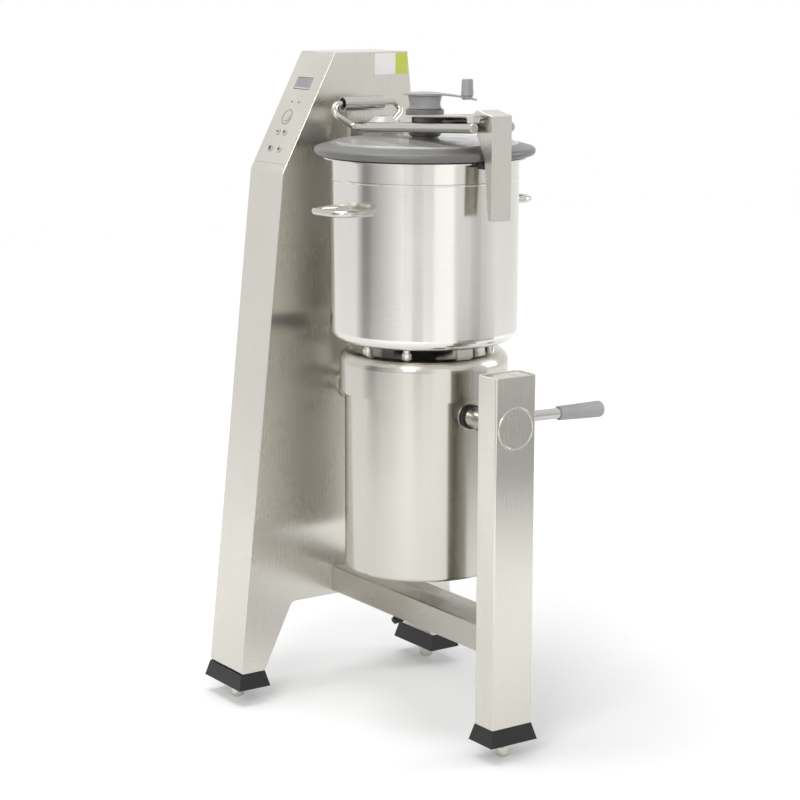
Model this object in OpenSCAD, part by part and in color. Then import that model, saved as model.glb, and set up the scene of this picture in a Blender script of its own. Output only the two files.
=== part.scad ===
// Tilting vertical cutter mixer on a column and post frame.
// X runs from the column to the post, Y to the rear, Z up, and the floor is z = 0.
// The bowl, the motor and the lid tilt forward together about a pivot along X.

/* [Frame] */
// Half the length of the frame, from the column's outer side to the post's outer side
frame_half = 324; // [315:1:340]
// Width of the column along X
column_w = 118.6; // [112:0.2:122]
// Height of the column above the floor
column_h = 1250; // [1230:1:1290]
// Half the depth of the column where its legs meet the feet
column_base_half = 254.5; // [246:0.5:262]
// Distance from the pivot plane to the column's top front edge
column_top_front = 33; // [26:1:44]
// Distance from the pivot plane to the column's top rear edge
column_top_rear = 135; // [125:1:145]
// Drop from the column's top to the bend where the control panel's slope begins
bend_drop = 221; // [200:1:240]
// Distance from the pivot plane to that bend
bend_front = 150; // [145:1:155]
// Depth of each column leg at its foot
leg_d = 54.5; // [50:0.5:60]
// Half the width of the arch between the legs, at its top
arch_half = 136; // [130:1:142]
// Height of the arch's top above the floor
arch_z = 191.5; // [182:0.5:196]
// Thickness of the frame's folded sheet
sheet = 2.5; // [2:0.1:3]
// Width of the column's inward flange that carries the cover
cover_flange = 16; // [14:0.5:20]
// Width of the post along X
post_w = 54; // [48:0.2:58]
// Depth of the post along Y
post_d = 88; // [80:0.2:92]
// Height of the post's top above the floor
post_top = 706; // [690:1:730]
// Depth of the cross beam along Y
beam_d = 86.6; // [80:0.2:92]
// Height of the cross beam's section
beam_h = 51; // [44:0.5:54]
// Gap from the arch's top to the cross beam's underside
beam_rise = 7; // [4:0.5:12]
// Corner radius of the post and the cross beam
tube_corner = 3; // [2.5:0.5:6]

/* [Feet] */
// Height of the feet's underside above the floor
foot_z = 32.3; // [28:0.1:36]
// Height of the rubber feet
foot_h = 29.9; // [26:0.1:34]
// How far a foot flares out on each side
foot_flare = 7.7; // [5:0.1:10]
// Radius of a levelling pad
level_pad_r = 13.5; // [11:0.1:15]
// Radius of a levelling pad's threaded stem
level_stem_r = 5; // [4:0.1:6]

/* [Pivot and tilt lever] */
// Height of the pivot above the floor
pivot_z = 612; // [600:1:625]
// Radius of the trunnions
trunnion_r = 19; // [17:0.5:20]
// Wall of the bushes that carry the trunnions
bush_wall = 5; // [4:0.5:6]
// Radial running clearance of every shaft in its bush
running = 0.05; // [0.03:0.01:0.08]
// Radius of the round cap on the post
pivot_cap_r = 39; // [34:0.5:41]
// Distance from the post's inner side to the tilt lever's axis
lever_offset = 32; // [30:0.2:36]
// Radius of the tilt lever's rod
lever_rod_r = 10; // [8:0.5:11]
// Distance from the pivot to the start of the tilt lever's grip
lever_grip_start = 164; // [150:1:170]
// Length of the tilt lever's grip
lever_grip_l = 102; // [90:1:106]
// Radius of the grip at its free end
lever_grip_r = 15.5; // [14:0.5:17]
// Droop of the tilt lever below the horizontal, in degrees
lever_droop = 1.5; // [0:0.5:3]

/* [Motor drum] */
// Distance from the frame's middle to the bowl's axis
body_x = 43; // [38:1:48]
// Radius of the motor drum
drum_r = 146.5; // [140:0.5:148]
// Wall of the motor drum and its cap
drum_wall = 2.5; // [2:0.1:3]
// Depth of the drum's underside below the pivot
drum_drop = 304.3; // [295:0.5:310]
// Radius of the drum's upper cap
cap_r = 156.4; // [152:0.2:158]
// Height of the cap's lower edge above the pivot
cap_rise = 30; // [26:1:34]
// Height of the drum's upper cap
cap_h = 76; // [70:1:84]
// Rounding of the cap's top edge
cap_round = 22; // [16:1:26]
// Radius of the motor shaft
shaft_r = 18; // [16:0.5:20]

/* [Bowl] */
// Outer radius of the bowl
bowl_r = 172.5; // [168:0.5:174]
// Wall of the bowl
bowl_wall = 2.2; // [1.8:0.1:2.8]
// Height of the bowl up to its rim
bowl_h = 334.5; // [320:0.5:345]
// Height of the studs that carry the bowl
stud_h = 19; // [16:0.5:24]
// Rounding of the bowl's bottom edge
bowl_round = 20; // [16:1:26]
// Radius of the bowl's rim flange
rim_r = 186; // [184:0.5:187]
// Height of the bowl's middle chimney
chimney_h = 113; // [100:1:125]
// Depth of the bowl's weld bead below its rim
bead_drop = 38.5; // [34:0.5:50]
// Half the width of a bowl handle, between its leg axes
handle_half = 48; // [44:1:54]
// Reach of a bowl handle's bar from the bowl's axis
handle_reach = 228; // [220:1:234]
// Radius of a bowl handle's rod
handle_rod_r = 6.5; // [5.5:0.1:7]
// Depth of the handles below the bowl's rim
handle_drop = 88.5; // [82:0.5:96]
// Turn of the bowl, with its handles, in its seat, in degrees
handle_turn = 5; // [0:1:10]

/* [Blades] */
// Reach of the blades from the shaft's axis
blade_reach = 158; // [150:1:160]
// Thickness of a blade
blade_t = 3; // [2.4:0.1:3.6]
// Gap from the bowl's floor to the lowest blade
blade_floor_gap = 10; // [8:0.5:13]
// Height between one blade and the next
blade_step = 38; // [32:1:40]
// Radius of the blade hub
blade_hub_r = 36; // [35:0.5:40]

/* [Lid] */
// Outer radius of the lid's ring
lid_r = 201.5; // [199:0.5:205]
// Height of the lid's rounded outer edge
lid_edge_h = 15; // [14.5:0.1:17]
// Height of the lid's ring where the dome begins
lid_ring_h = 23; // [21:0.5:25]
// Radius at which the raised dome begins
dome_r = 162; // [158:0.5:162.5]
// Step from the ring up to the dome
dome_step = 2; // [1.5:0.1:3]
// Rise of the dome from its edge to its middle
dome_rise = 4.5; // [3.5:0.1:6]
// Thickness of the dome
dome_t = 3; // [2.5:0.1:3.5]
// Outer radius of the feed hopper at its mouth
hopper_r = 15.5; // [14:0.5:17]
// Outer radius of the feed hopper's foot
hopper_foot_r = 38; // [34:0.5:40]
// Distance from the bowl's axis to the feed hopper
hopper_reach = 134; // [130:1:136]

/* [Lid arm] */
// Distance from the bowl's axis back to the arm's hinge
hinge_reach = 193; // [190:1:195]
// Height of the arm's hinge above the lid's underside
hinge_rise = 82; // [80:0.5:86]
// Half the distance between the axes of the arm's tubes
arm_half = 40; // [39:0.5:42]
// Radius of the arm's tubes
arm_tube_r = 9; // [8:0.1:9.2]
// Upward slope of the arm towards the clamp, in degrees
arm_slope = 2.9; // [2.5:0.1:3.3]
// Drop of the arm's tubes below the hinge
arm_drop = 42.5; // [41:0.5:44]
// Reach of the arm's tubes beyond the bowl's axis
arm_reach = 205; // [202:1:208]
// Distance from the hinge to the corners where the rod bends into the tubes
rod_toe = 20; // [17:0.5:23]
// Radius of the hinge rod
rod_r = 6.2; // [5.6:0.1:6.4]
// Radius of the hinge sleeve
sleeve_r = 13.5; // [12.8:0.1:14]
// Length of the hinge sleeve
sleeve_l = 88; // [84:1:92]
// Height of the arm's cover above the tube axes
cover_rise = 22; // [21:0.5:23]

/* [Clamp lever] */
// Height of the clamp lever's pin above the lid's underside
clamp_pin_rise = 73; // [71:0.5:75]
// Distance from the clamp lever's outer face back to its pin
clamp_pin_d = 40; // [39:0.5:41]
// Reach of the clamp lever's outer face from the bowl's axis
clamp_reach = 231; // [229:0.5:233]
// Half the width of the clamp lever
clamp_half = 21.4; // [20:0.2:22]
// Radius of the clamp lever's rounded top round its pin
clamp_lobe_r = 16.5; // [15.5:0.1:17]
// Height of the outer face's top edge above the pin
clamp_up = 8.5; // [7:0.5:10]
// Length of the clamp lever below its pin
clamp_down = 175; // [160:1:184]
// Depth of the clamp lever's flanges just above the lid
clamp_d = 33; // [31:0.5:35]
// Depth of the clamp lever's flanges beside the lid's edge
clamp_neck_d = 22; // [20:0.5:24]
// Depth of the clamp lever's flanges at the free end
clamp_tip_d = 10; // [8:0.5:12]

/* [Crank] */
// Radius of the crank's top disc
crank_r = 39; // [36:0.5:41]
// Radius of the crank's base
crank_base_r = 30.5; // [29.5:0.1:32]
// Radius of the crank's waist
crank_waist_r = 28; // [26:0.5:29]
// Height of the crank from its base to its top
crank_h = 29; // [27:0.5:32]
// Reach of the crank's knob from its axis
knob_reach = 76.5; // [72:0.5:80]
// Radius of the knob at its foot
knob_r = 11.5; // [10.5:0.5:12]
// Height of the knob
knob_h = 30; // [26:1:34]

/* [Hidden] */
$fn = 48;

// Overrun of every cut
over = 1;
// Gap between bodies that seat on each other
seat = 0.3;
// Gap between two fitted pieces of one body
fit = 0.1;

// Levels and stations worked out from the sizes above
leg_z = foot_z + foot_h;
column_x0 = -frame_half;
column_x1 = column_x0 + column_w;
column_mid_x = (column_x0 + column_x1) / 2;
post_x1 = frame_half;
post_x0 = post_x1 - post_w;
post_mid_x = (post_x0 + post_x1) / 2;
beam_z = arch_z + beam_rise;
drum_z = pivot_z - drum_drop;
cap_z = pivot_z + cap_rise;
cap_top = cap_z + cap_h;
bowl_z = cap_top + stud_h;
rim_z = bowl_z + bowl_h;
gasket_h = 3.2;
lid_z = rim_z + gasket_h + seat;
hinge_x = body_x - hinge_reach;
hinge_z = lid_z + hinge_rise;
clamp_pin_x = body_x + clamp_reach - clamp_pin_d;
clamp_pin_z = lid_z + clamp_pin_rise;
clamp_notch = 34;

// Small helpers for outlines
function unit(v) = v / norm(v);
function mix(a, b, s) = a * (1 - s) + b * s;
// Outline moved inwards by d, for points that run counterclockwise
function inset(p, d) = [
  for (i = [0:len(p) - 1])
    let (
      u = unit(p[i] - p[(i + len(p) - 1) % len(p)]),
      v = unit(p[(i + 1) % len(p)] - p[i]),
      n = [-u.y, u.x],
      m = [-v.y, v.x]
    )
    p[i] + (n + m) * d / (1 + n * m)
];
// Outline with each corner rounded to its own radius, in four steps
function rounded(p, radii) = [
  for (i = [0:len(p) - 1])
    let (
      u = unit(p[(i + len(p) - 1) % len(p)] - p[i]),
      v = unit(p[(i + 1) % len(p)] - p[i]),
      half = acos(u * v) / 2,
      centre = p[i] + unit(u + v) * radii[i] / sin(half),
      a = p[i] + u * radii[i] / tan(half) - centre,
      b = p[i] + v * radii[i] / tan(half) - centre
    )
    for (s = [0:0.25:1])
      centre + unit(mix(a, b, s)) * radii[i]
];
// Arc of a revolve's outline from angle a to angle b
function arc(cx, cy, r, a, b, steps = 8) = [
  for (i = [0:steps])
    [cx + r * cos(a + (b - a) * i / steps), cy + r * sin(a + (b - a) * i / steps)]
];

// Placing helpers
module at_bowl() translate([body_x, 0, 0]) children();
module at_pivot() translate([0, 0, pivot_z]) rotate([0, 90, 0]) children();
module in_arm() {
  translate([hinge_x, 0, hinge_z - arm_drop]) rotate([0, -arm_slope, 0]) children();
}
// Extrudes a drawing in Y and Z along X, from x0 to x1
module along_x(x0, x1) {
  translate([x0, 0, 0]) rotate([90, 0, 90]) linear_extrude(x1 - x0) children();
}
// Extrudes a drawing in X and Z along Y, from -half to half
module along_y(half) {
  translate([0, half, 0]) rotate([90, 0, 0]) linear_extrude(2 * half) children();
}
module ring(r0, r1, z0, z1) {
  translate([0, 0, z0]) difference() {
    cylinder(r = r1, h = z1 - z0);
    translate([0, 0, -over]) cylinder(r = r0, h = z1 - z0 + 2 * over);
  }
}
module rounded_box_2d(w, d, r) {
  union() {
    square([w - 2 * r, d], center = true);
    square([w, d - 2 * r], center = true);
    for (x = [-1, 1], y = [-1, 1])
      translate([x * (w / 2 - r), y * (d / 2 - r)]) circle(r = r);
  }
}
// Rod of radius r along the points p, with every corner bent to bend_r
// The straight runs are a hair thinner and reach a little way into the bends
module bent_rod(p, r, bend_r) {
  lap = 0.5;
  step = 0.03;
  last = len(p) - 1;
  turn = [for (i = [1:last - 1]) acos(unit(p[i] - p[i - 1]) * unit(p[i + 1] - p[i]))];
  cut = [for (i = [0:last]) (i == 0 || i == last) ? 0 : bend_r * tan(turn[i - 1] / 2)];
  union() {
    for (i = [0:last - 1]) {
      u = unit(p[i + 1] - p[i]);
      a = p[i] + u * cut[i];
      b = p[i + 1] - u * cut[i + 1];
      side = abs(u.z) < 0.9 ? [0, 0, 1] : [1, 0, 0];
      v = unit(cross(side, u));
      w = cross(u, v);
      multmatrix([[v.x, w.x, u.x, a.x], [v.y, w.y, u.y, a.y], [v.z, w.z, u.z, a.z], [0, 0, 0, 1]])
        translate([0, 0, -lap * sign(i)])
          cylinder(r = r - step, h = norm(b - a) + lap * (sign(i) + sign(last - 1 - i)));
    }
    for (i = [1:last - 1]) {
      u = unit(p[i] - p[i - 1]);
      v = unit(p[i + 1] - p[i]);
      c = p[i] + unit(v - u) * bend_r / cos(turn[i - 1] / 2);
      x = unit(p[i] - u * cut[i] - c);
      z = unit(cross(u, v));
      y = cross(z, x);
      multmatrix([[x.x, y.x, z.x, c.x], [x.y, y.y, z.y, c.y], [x.z, y.z, z.z, c.z], [0, 0, 0, 1]])
        rotate_extrude(angle = turn[i - 1]) translate([bend_r, 0]) circle(r = r);
    }
  }
}

// Column: a folded tray that is closed by a cover on its outer side
bend_z = column_h - bend_drop;
column_corners = [
  [-column_base_half, leg_z],
  [leg_d - column_base_half, leg_z],
  [-arch_half, arch_z],
  [arch_half, arch_z],
  [column_base_half - leg_d, leg_z],
  [column_base_half, leg_z],
  [column_top_rear, column_h],
  [-column_top_front, column_h],
  [-bend_front, bend_z]
];
corner_r = 5;
arch_corner_r = 14;
panel_bend_r = 24;
column_outline = rounded(column_corners, [
  corner_r, corner_r, arch_corner_r, arch_corner_r, corner_r,
  corner_r, corner_r, corner_r, panel_bend_r
]);
bush_r = trunnion_r + running + bush_wall;
// Slope of the control panel's face, measured from the vertical
panel_lean = atan2(bend_front - column_top_front, column_h - bend_z);
panel_slope_l = norm([bend_front - column_top_front, column_h - bend_z]);
module on_panel() {
  translate([column_mid_x, -bend_front, bend_z]) rotate([90 - panel_lean, 0, 0]) children();
}
panel_margin = 4;
panel_start = 16;
panel_t = 1.5;
panel_w = column_w - 2 * panel_margin;
panel_l = panel_slope_l - panel_start - 2 * panel_margin;
panel_lap = 12;
// Cable gland on the slanted inner side of the rear leg
gland_share = 0.33;
gland_r = 12;
gland_base = mix(
  [column_base_half - leg_d, leg_z], [arch_half, arch_z], gland_share
);
gland_dir = unit([leg_z - arch_z, arch_half + leg_d - column_base_half]);
module at_gland() {
  translate([column_mid_x, gland_base.x, gland_base.y])
    rotate([atan2(gland_dir.x, gland_dir.y) * -1, 0, 0]) children();
}
gland_neck_r = 8;

module column_shell() {
  color("silver")
  difference() {
    along_x(column_x0 + sheet, column_x1) polygon(column_outline);
    along_x(column_x0 + 2 * sheet, column_x1 - sheet) polygon(inset(column_outline, sheet));
    along_x(column_x0, column_x0 + 2 * sheet + over)
      polygon(inset(column_corners, cover_flange));
    translate([column_x1, 0, 0]) at_pivot()
      cylinder(r = bush_r, h = 2 * (sheet + over), center = true);
    on_panel() translate([0, panel_start + panel_l / 2, 0])
      cube([panel_w - 2 * panel_lap, panel_l - 2 * panel_lap, 4 * sheet], center = true);
    at_gland() cylinder(r = gland_neck_r, h = 4 * sheet, center = true);
    for (p = cover_screw_points) translate([column_x0, p.x, p.y]) rotate([0, 90, 0])
      cylinder(r = screw_r, h = 2 * sheet + over);
  }
}

// Screws of the cover: one at each corner and some along the long edges
screw_r = 2.5;
screw_head_r = 5;
screw_head_h = 2.4;
screw_line = inset(column_corners, cover_flange / 2 + sheet / 2);
long_edge_shares = [0.25, 0.5, 0.75];
cover_screw_points = concat(
  screw_line,
  [for (s = long_edge_shares) mix(screw_line[5], screw_line[6], s)],
  [for (s = long_edge_shares) mix(screw_line[8], screw_line[0], s)]
);
cover_gap = 0.8;
module column_cover() {
  color("silver")
  difference() {
    along_x(column_x0, column_x0 + sheet) polygon(inset(column_outline, cover_gap));
    for (p = cover_screw_points) translate([column_x0, p.x, p.y]) rotate([0, 90, 0])
      cylinder(r = screw_r + fit, h = 4 * sheet, center = true);
  }
}
module cover_screws() {
  color("lightgray")
  for (p = cover_screw_points) translate([column_x0, p.x, p.y]) rotate([0, 90, 0]) {
    rotate_extrude() polygon([
      [0, -screw_head_h], [screw_head_r * 0.6, -screw_head_h],
      [screw_head_r, -screw_head_h / 3], [screw_head_r, 0],
      [screw_r - fit, 0], [screw_r - fit, 2 * sheet], [0, 2 * sheet]
    ]);
  }
}

// Control panel: a plate on the slanted face with a display, lamps and buttons
display_w = 46;
display_d = 19;
display_y = 183;
display_frame = 3;
lamp_r = 2.5;
lamp_x = 12;
lamp_y = 143;
key_r = 7;
pulse_r = 9;
// Each button's place across and along the panel, and its radius
pulse_at = [-6, 111];
plus_at = [8, 80];
minus_at = [-16, 80];
start_at = [14, 45];
stop_at = [-18, 45];
key_proud = 1.8;
key_travel = 1.5;
key_flange_t = 1.6;
key_stem_r = 2.5;
key_stem_l = 7;
button_clear = 0.25;
board_t = 1.6;
switch_w = 9;
switch_t = 3.4;
board_gap = key_flange_t + key_stem_l + key_travel + seat + 2 * button_clear + switch_t;
standoff_r = 3;
board_w = panel_w - 2 * panel_lap - 2 * standoff_r;
board_y0 = min(start_at.y, stop_at.y) - 15;
board_y1 = display_y + display_d;
function button_hole(r) = r + button_clear;
module control_panel() {
  color("gainsboro") on_panel() {
    difference() {
      translate([-panel_w / 2, panel_start, 0]) cube([panel_w, panel_l, panel_t]);
      translate([-display_w / 2, display_y - display_d / 2, -over])
        cube([display_w, display_d, panel_t + 2 * over]);
      for (x = [-1, 1]) translate([x * lamp_x, lamp_y, -over])
        cylinder(r = lamp_r + fit, h = panel_t + 2 * over);
      for (b = [plus_at, minus_at, start_at, stop_at]) translate([b.x, b.y, -over])
        cylinder(r = button_hole(key_r), h = panel_t + 2 * over);
      translate([pulse_at.x, pulse_at.y, -over])
        cylinder(r = button_hole(pulse_r), h = panel_t + 2 * over);
    }
    for (x = [-1, 1], y = [board_y0 + standoff_r, board_y1 - standoff_r])
      translate([x * (board_w / 2 - standoff_r), y, -board_gap])
        cylinder(r = standoff_r, h = board_gap);
  }
}
module display_window() {
  color([0.1, 0.12, 0.14]) on_panel() translate([0, display_y, 0]) {
    translate([-display_w / 2 + fit, -display_d / 2 + fit, 0])
      cube([display_w - 2 * fit, display_d - 2 * fit, panel_t * 0.8]);
    translate([-display_w / 2 - display_frame, -display_d / 2 - display_frame, -panel_t])
      cube([display_w + 2 * display_frame, display_d + 2 * display_frame, panel_t]);
  }
}
module indicator_lamps() {
  color("seagreen") on_panel() for (x = [-1, 1]) translate([x * lamp_x, lamp_y, 0]) {
    rotate_extrude() polygon([
      [0, -panel_t], [2 * lamp_r, -panel_t], [2 * lamp_r, 0], [lamp_r, 0],
      [lamp_r, panel_t], [lamp_r * 0.6, panel_t * 1.5], [0, panel_t * 1.6]
    ]);
  }
}
module control_board() {
  color("darkgreen") on_panel() translate([0, 0, -board_gap]) {
    translate([-board_w / 2, board_y0, -board_t]) cube([board_w, board_y1 - board_y0, board_t]);
    for (b = [plus_at, minus_at, start_at, stop_at, pulse_at])
      translate([b.x - switch_w / 2, b.y - switch_w / 2, 0]) cube([switch_w, switch_w, switch_t]);
  }
}
module push_button(place, r) {
  on_panel() translate([place.x, place.y, 0]) rotate_extrude() polygon([
    [0, -seat - key_flange_t - key_stem_l],
    [key_stem_r, -seat - key_flange_t - key_stem_l],
    [key_stem_r, -seat - key_flange_t],
    [r + 2 * button_clear + 1.5 * key_flange_t, -seat - key_flange_t],
    [r + 2 * button_clear + 1.5 * key_flange_t, -seat],
    [r, -seat],
    [r, panel_t + key_proud * 0.6],
    [r - key_proud * 0.4, panel_t + key_proud],
    [r * 0.6, panel_t + key_proud * 0.85],
    [0, panel_t + key_proud * 0.8]
  ]);
}
module button_pulse() { color("gainsboro") push_button(pulse_at, pulse_r); }
module button_plus() { color("gainsboro") push_button(plus_at, key_r); }
module button_minus() { color("gainsboro") push_button(minus_at, key_r); }
module button_start() { color("green") push_button(start_at, key_r); }
module button_stop() { color("firebrick") push_button(stop_at, key_r); }

gland_l = 38;
gland_bore_r = 4;
module cable_gland() {
  color([0.15, 0.15, 0.16]) at_gland() difference() {
    union() {
      translate([0, 0, -sheet * 3]) cylinder(r = gland_neck_r - fit, h = sheet * 3);
      cylinder(r = gland_r, h = gland_l * 0.2, $fn = 6);
      translate([0, 0, gland_l * 0.2]) cylinder(r = gland_r * 0.8, h = gland_l * 0.25);
      translate([0, 0, gland_l * 0.45]) cylinder(r = gland_r, h = gland_l * 0.25, $fn = 6);
      translate([0, 0, gland_l * 0.7])
        cylinder(r1 = gland_r * 0.8, r2 = gland_r * 0.6, h = gland_l * 0.3);
    }
    translate([0, 0, -4 * sheet]) cylinder(r = gland_bore_r, h = gland_l + 5 * sheet);
  }
}

// Frame between the column and the post
module cross_beam() {
  color("silver") translate([0, 0, beam_z + beam_h / 2]) difference() {
    along_x(column_x1, post_x0) rounded_box_2d(beam_d, beam_h, tube_corner);
    along_x(column_x1 - over, post_x0 + over)
      rounded_box_2d(beam_d - 2 * sheet, beam_h - 2 * sheet, tube_corner - sheet / 2);
  }
}
module post() {
  color("silver") difference() {
    translate([post_mid_x, 0, leg_z]) linear_extrude(post_top - leg_z)
      rounded_box_2d(post_w, post_d, tube_corner);
    translate([post_mid_x, 0, leg_z + sheet]) linear_extrude(post_top)
      rounded_box_2d(post_w - 2 * sheet, post_d - 2 * sheet, tube_corner - sheet / 2);
    translate([post_mid_x, 0, 0]) at_pivot()
      cylinder(r = bush_r, h = post_w + 2 * over, center = true);
  }
}
post_cap_inset = 1.5;
module post_cap() {
  color("silver") translate([post_mid_x, 0, post_top - post_cap_inset - sheet])
    linear_extrude(sheet)
      rounded_box_2d(
        post_w - 2 * sheet - 2 * fit, post_d - 2 * sheet - 2 * fit, tube_corner - sheet / 2
      );
}
pivot_cap_t = 2;
pivot_rim = 3;
module pivot_cap() {
  color("silver") translate([post_x1, 0, 0]) at_pivot() union() {
    rotate_extrude() polygon([
      [0, 0], [pivot_cap_r, 0], [pivot_cap_r, pivot_cap_t * 0.6],
      [pivot_cap_r - pivot_cap_t * 0.4, pivot_cap_t],
      [pivot_cap_r - pivot_rim, pivot_cap_t],
      [pivot_cap_r - pivot_rim - pivot_cap_t * 0.4, pivot_cap_t * 0.6],
      [0, pivot_cap_t * 0.6]
    ]);
    translate([0, 0, -sheet]) cylinder(r = bush_r - fit, h = sheet);
  }
}
bush_flange = 6;
bush_flange_r = bush_r + bush_flange;
bush_flange_t = 4;
column_bush_l = 55;
module pivot_bushes() {
  color("goldenrod") {
    translate([post_x0, 0, 0]) at_pivot() {
      ring(trunnion_r + running, bush_r - fit, -bush_flange_t, post_w - sheet - fit);
      ring(bush_r - fit, bush_flange_r, -bush_flange_t, 0);
    }
    translate([column_x1, 0, 0]) at_pivot() {
      ring(trunnion_r + running, bush_r - fit, -column_bush_l, bush_flange_t);
      ring(bush_r - fit, bush_flange_r, 0, bush_flange_t);
    }
  }
}

// Feet: flared rubber blocks, with a levelling pad screwed into each
function leg_mid(side) = side * (column_base_half - leg_d / 2);
foot_places = [
  [column_mid_x, leg_mid(-1), column_w, leg_d],
  [column_mid_x, leg_mid(1), column_w, leg_d],
  [post_mid_x, 0, post_w, post_d]
];
module flared_block(w, d, h, flare) {
  intersection() {
    rotate([90, 0, 0]) translate([0, 0, -d]) linear_extrude(2 * d) polygon([
      [-w / 2 - flare, 0], [w / 2 + flare, 0], [w / 2, h], [-w / 2, h]
    ]);
    rotate([90, 0, 90]) translate([0, 0, -w]) linear_extrude(2 * w) polygon([
      [-d / 2 - flare, 0], [d / 2 + flare, 0], [d / 2, h], [-d / 2, h]
    ]);
  }
}
module feet() {
  color([0.13, 0.13, 0.14]) for (f = foot_places) translate([f[0], f[1], foot_z]) difference() {
    flared_block(f[2], f[3], foot_h, foot_flare);
    translate([0, 0, -over]) cylinder(r = level_stem_r + fit, h = foot_h * 0.8 + over);
  }
}
level_flat_r = 6.5;
module levelling_pads() {
  color("darkgray") for (f = foot_places) translate([f[0], f[1], 0]) rotate_extrude() polygon(concat(
    [[0, 0]],
    arc(level_flat_r, level_pad_r - level_flat_r, level_pad_r - level_flat_r, -90, 0),
    [
      [level_pad_r, foot_z * 0.6], [level_pad_r * 0.6, foot_z - fit],
      [level_stem_r, foot_z - fit], [level_stem_r, foot_z + foot_h * 0.75],
      [0, foot_z + foot_h * 0.75]
    ]
  ));
}

// Motor drum and the cap above it
drum_round = 6;
module motor_drum() {
  color("lightgray") at_bowl() difference() {
    rotate_extrude() polygon(concat(
      [[0, drum_z]],
      arc(drum_r - drum_round, drum_z + drum_round, drum_round, -90, 0),
      [[drum_r, cap_z], [drum_r - drum_wall, cap_z]],
      [[drum_r - drum_wall, drum_z + drum_round]],
      [[drum_r - drum_round, drum_z + drum_wall], [0, drum_z + drum_wall]]
    ));
    translate([0, 0, pivot_z]) rotate([0, 90, 0])
      cylinder(r = trunnion_boss_r + fit, h = 3 * drum_r, center = true);
  }
}
cap_lip_h = 3;
shaft_hole_gap = 30;
shaft_hole_r = shaft_r + shaft_hole_gap;
module drum_cap() {
  color("lightgray") at_bowl() rotate_extrude() polygon(concat(
    [[drum_r - drum_wall, cap_z], [cap_r, cap_z]],
    arc(cap_r - cap_round, cap_top - cap_round, cap_round, 0, 90),
    [[shaft_hole_r, cap_top], [shaft_hole_r, cap_top - drum_wall]],
    arc(cap_r - cap_round, cap_top - cap_round, cap_round - drum_wall, 90, 0),
    [[cap_r - drum_wall, cap_z + cap_lip_h], [drum_r - drum_wall, cap_z + cap_lip_h]]
  ));
}
stator_rise = 70;
stator_z = drum_z + stator_rise;
stator_h = 190;
stator_bore_r = 80;
stator_slots = 24;
slot_w = 8;
slot_d = 18;
module motor_stator() {
  color("dimgray") at_bowl() difference() {
    ring(stator_bore_r, drum_r - drum_wall - fit, stator_z, stator_z + stator_h);
    for (i = [0:stator_slots - 1]) rotate(i * 360 / stator_slots)
      translate([stator_bore_r - over, -slot_w / 2, stator_z - over])
        cube([slot_d, slot_w, stator_h + 2 * over]);
  }
}
shield_t = 12;
bearing_wall = 22;
bearing_r = shaft_r + bearing_wall;
bearing_h = 22;
bearing_lip = 4;
lower_shield_rise = 24;
lower_shield_z = drum_z + lower_shield_rise;
upper_shield_rise = 34;
upper_shield_z = pivot_z + upper_shield_rise;
module motor_end_shields() {
  color("gray") at_bowl() for (z = [lower_shield_z, upper_shield_z]) {
    ring(bearing_r, drum_r - drum_wall - fit, z, z + shield_t);
    ring(bearing_r, bearing_r + shield_t, z + shield_t, z + bearing_h + shield_t / 2);
    ring(shaft_r + bearing_lip, bearing_r, z, z + shield_t / 3);
  }
}
module motor_bearings() {
  color("gainsboro") at_bowl() for (z = [lower_shield_z, upper_shield_z])
    ring(shaft_r + running, bearing_r - fit, z + shield_t / 3, z + shield_t / 3 + bearing_h);
}

// Trunnions: stub shafts that carry the drum in the post and the column
trunnion_boss_r = 26;
trunnion_boss_l = 14;
post_trunnion_end = post_w - 2 * sheet;
column_collar_t = 10;
module trunnions() {
  color("lightgray") {
    translate([body_x + drum_r - trunnion_boss_l, 0, 0]) at_pivot() {
      cylinder(r = trunnion_boss_r, h = trunnion_boss_l);
      cylinder(r = trunnion_r, h = post_x0 + post_trunnion_end - body_x - drum_r + trunnion_boss_l);
    }
    translate([body_x - drum_r + trunnion_boss_l, 0, 0]) rotate([0, 0, 180]) at_pivot() {
      cylinder(r = trunnion_boss_r, h = trunnion_boss_l);
      cylinder(r = trunnion_r, h = body_x - drum_r + trunnion_boss_l - column_x1
        + column_bush_l + seat + column_collar_t);
    }
    translate([column_x1 - column_bush_l - seat - column_collar_t, 0, 0]) at_pivot()
      ring(trunnion_r, bush_r, 0, column_collar_t);
  }
}
seal_r = 22;
seal_t = 7;
module trunnion_seal() {
  color([0.1, 0.1, 0.1]) translate([body_x + drum_r + fit, 0, 0]) at_pivot()
    ring(trunnion_r, seal_r, 0, seal_t);
}

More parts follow.
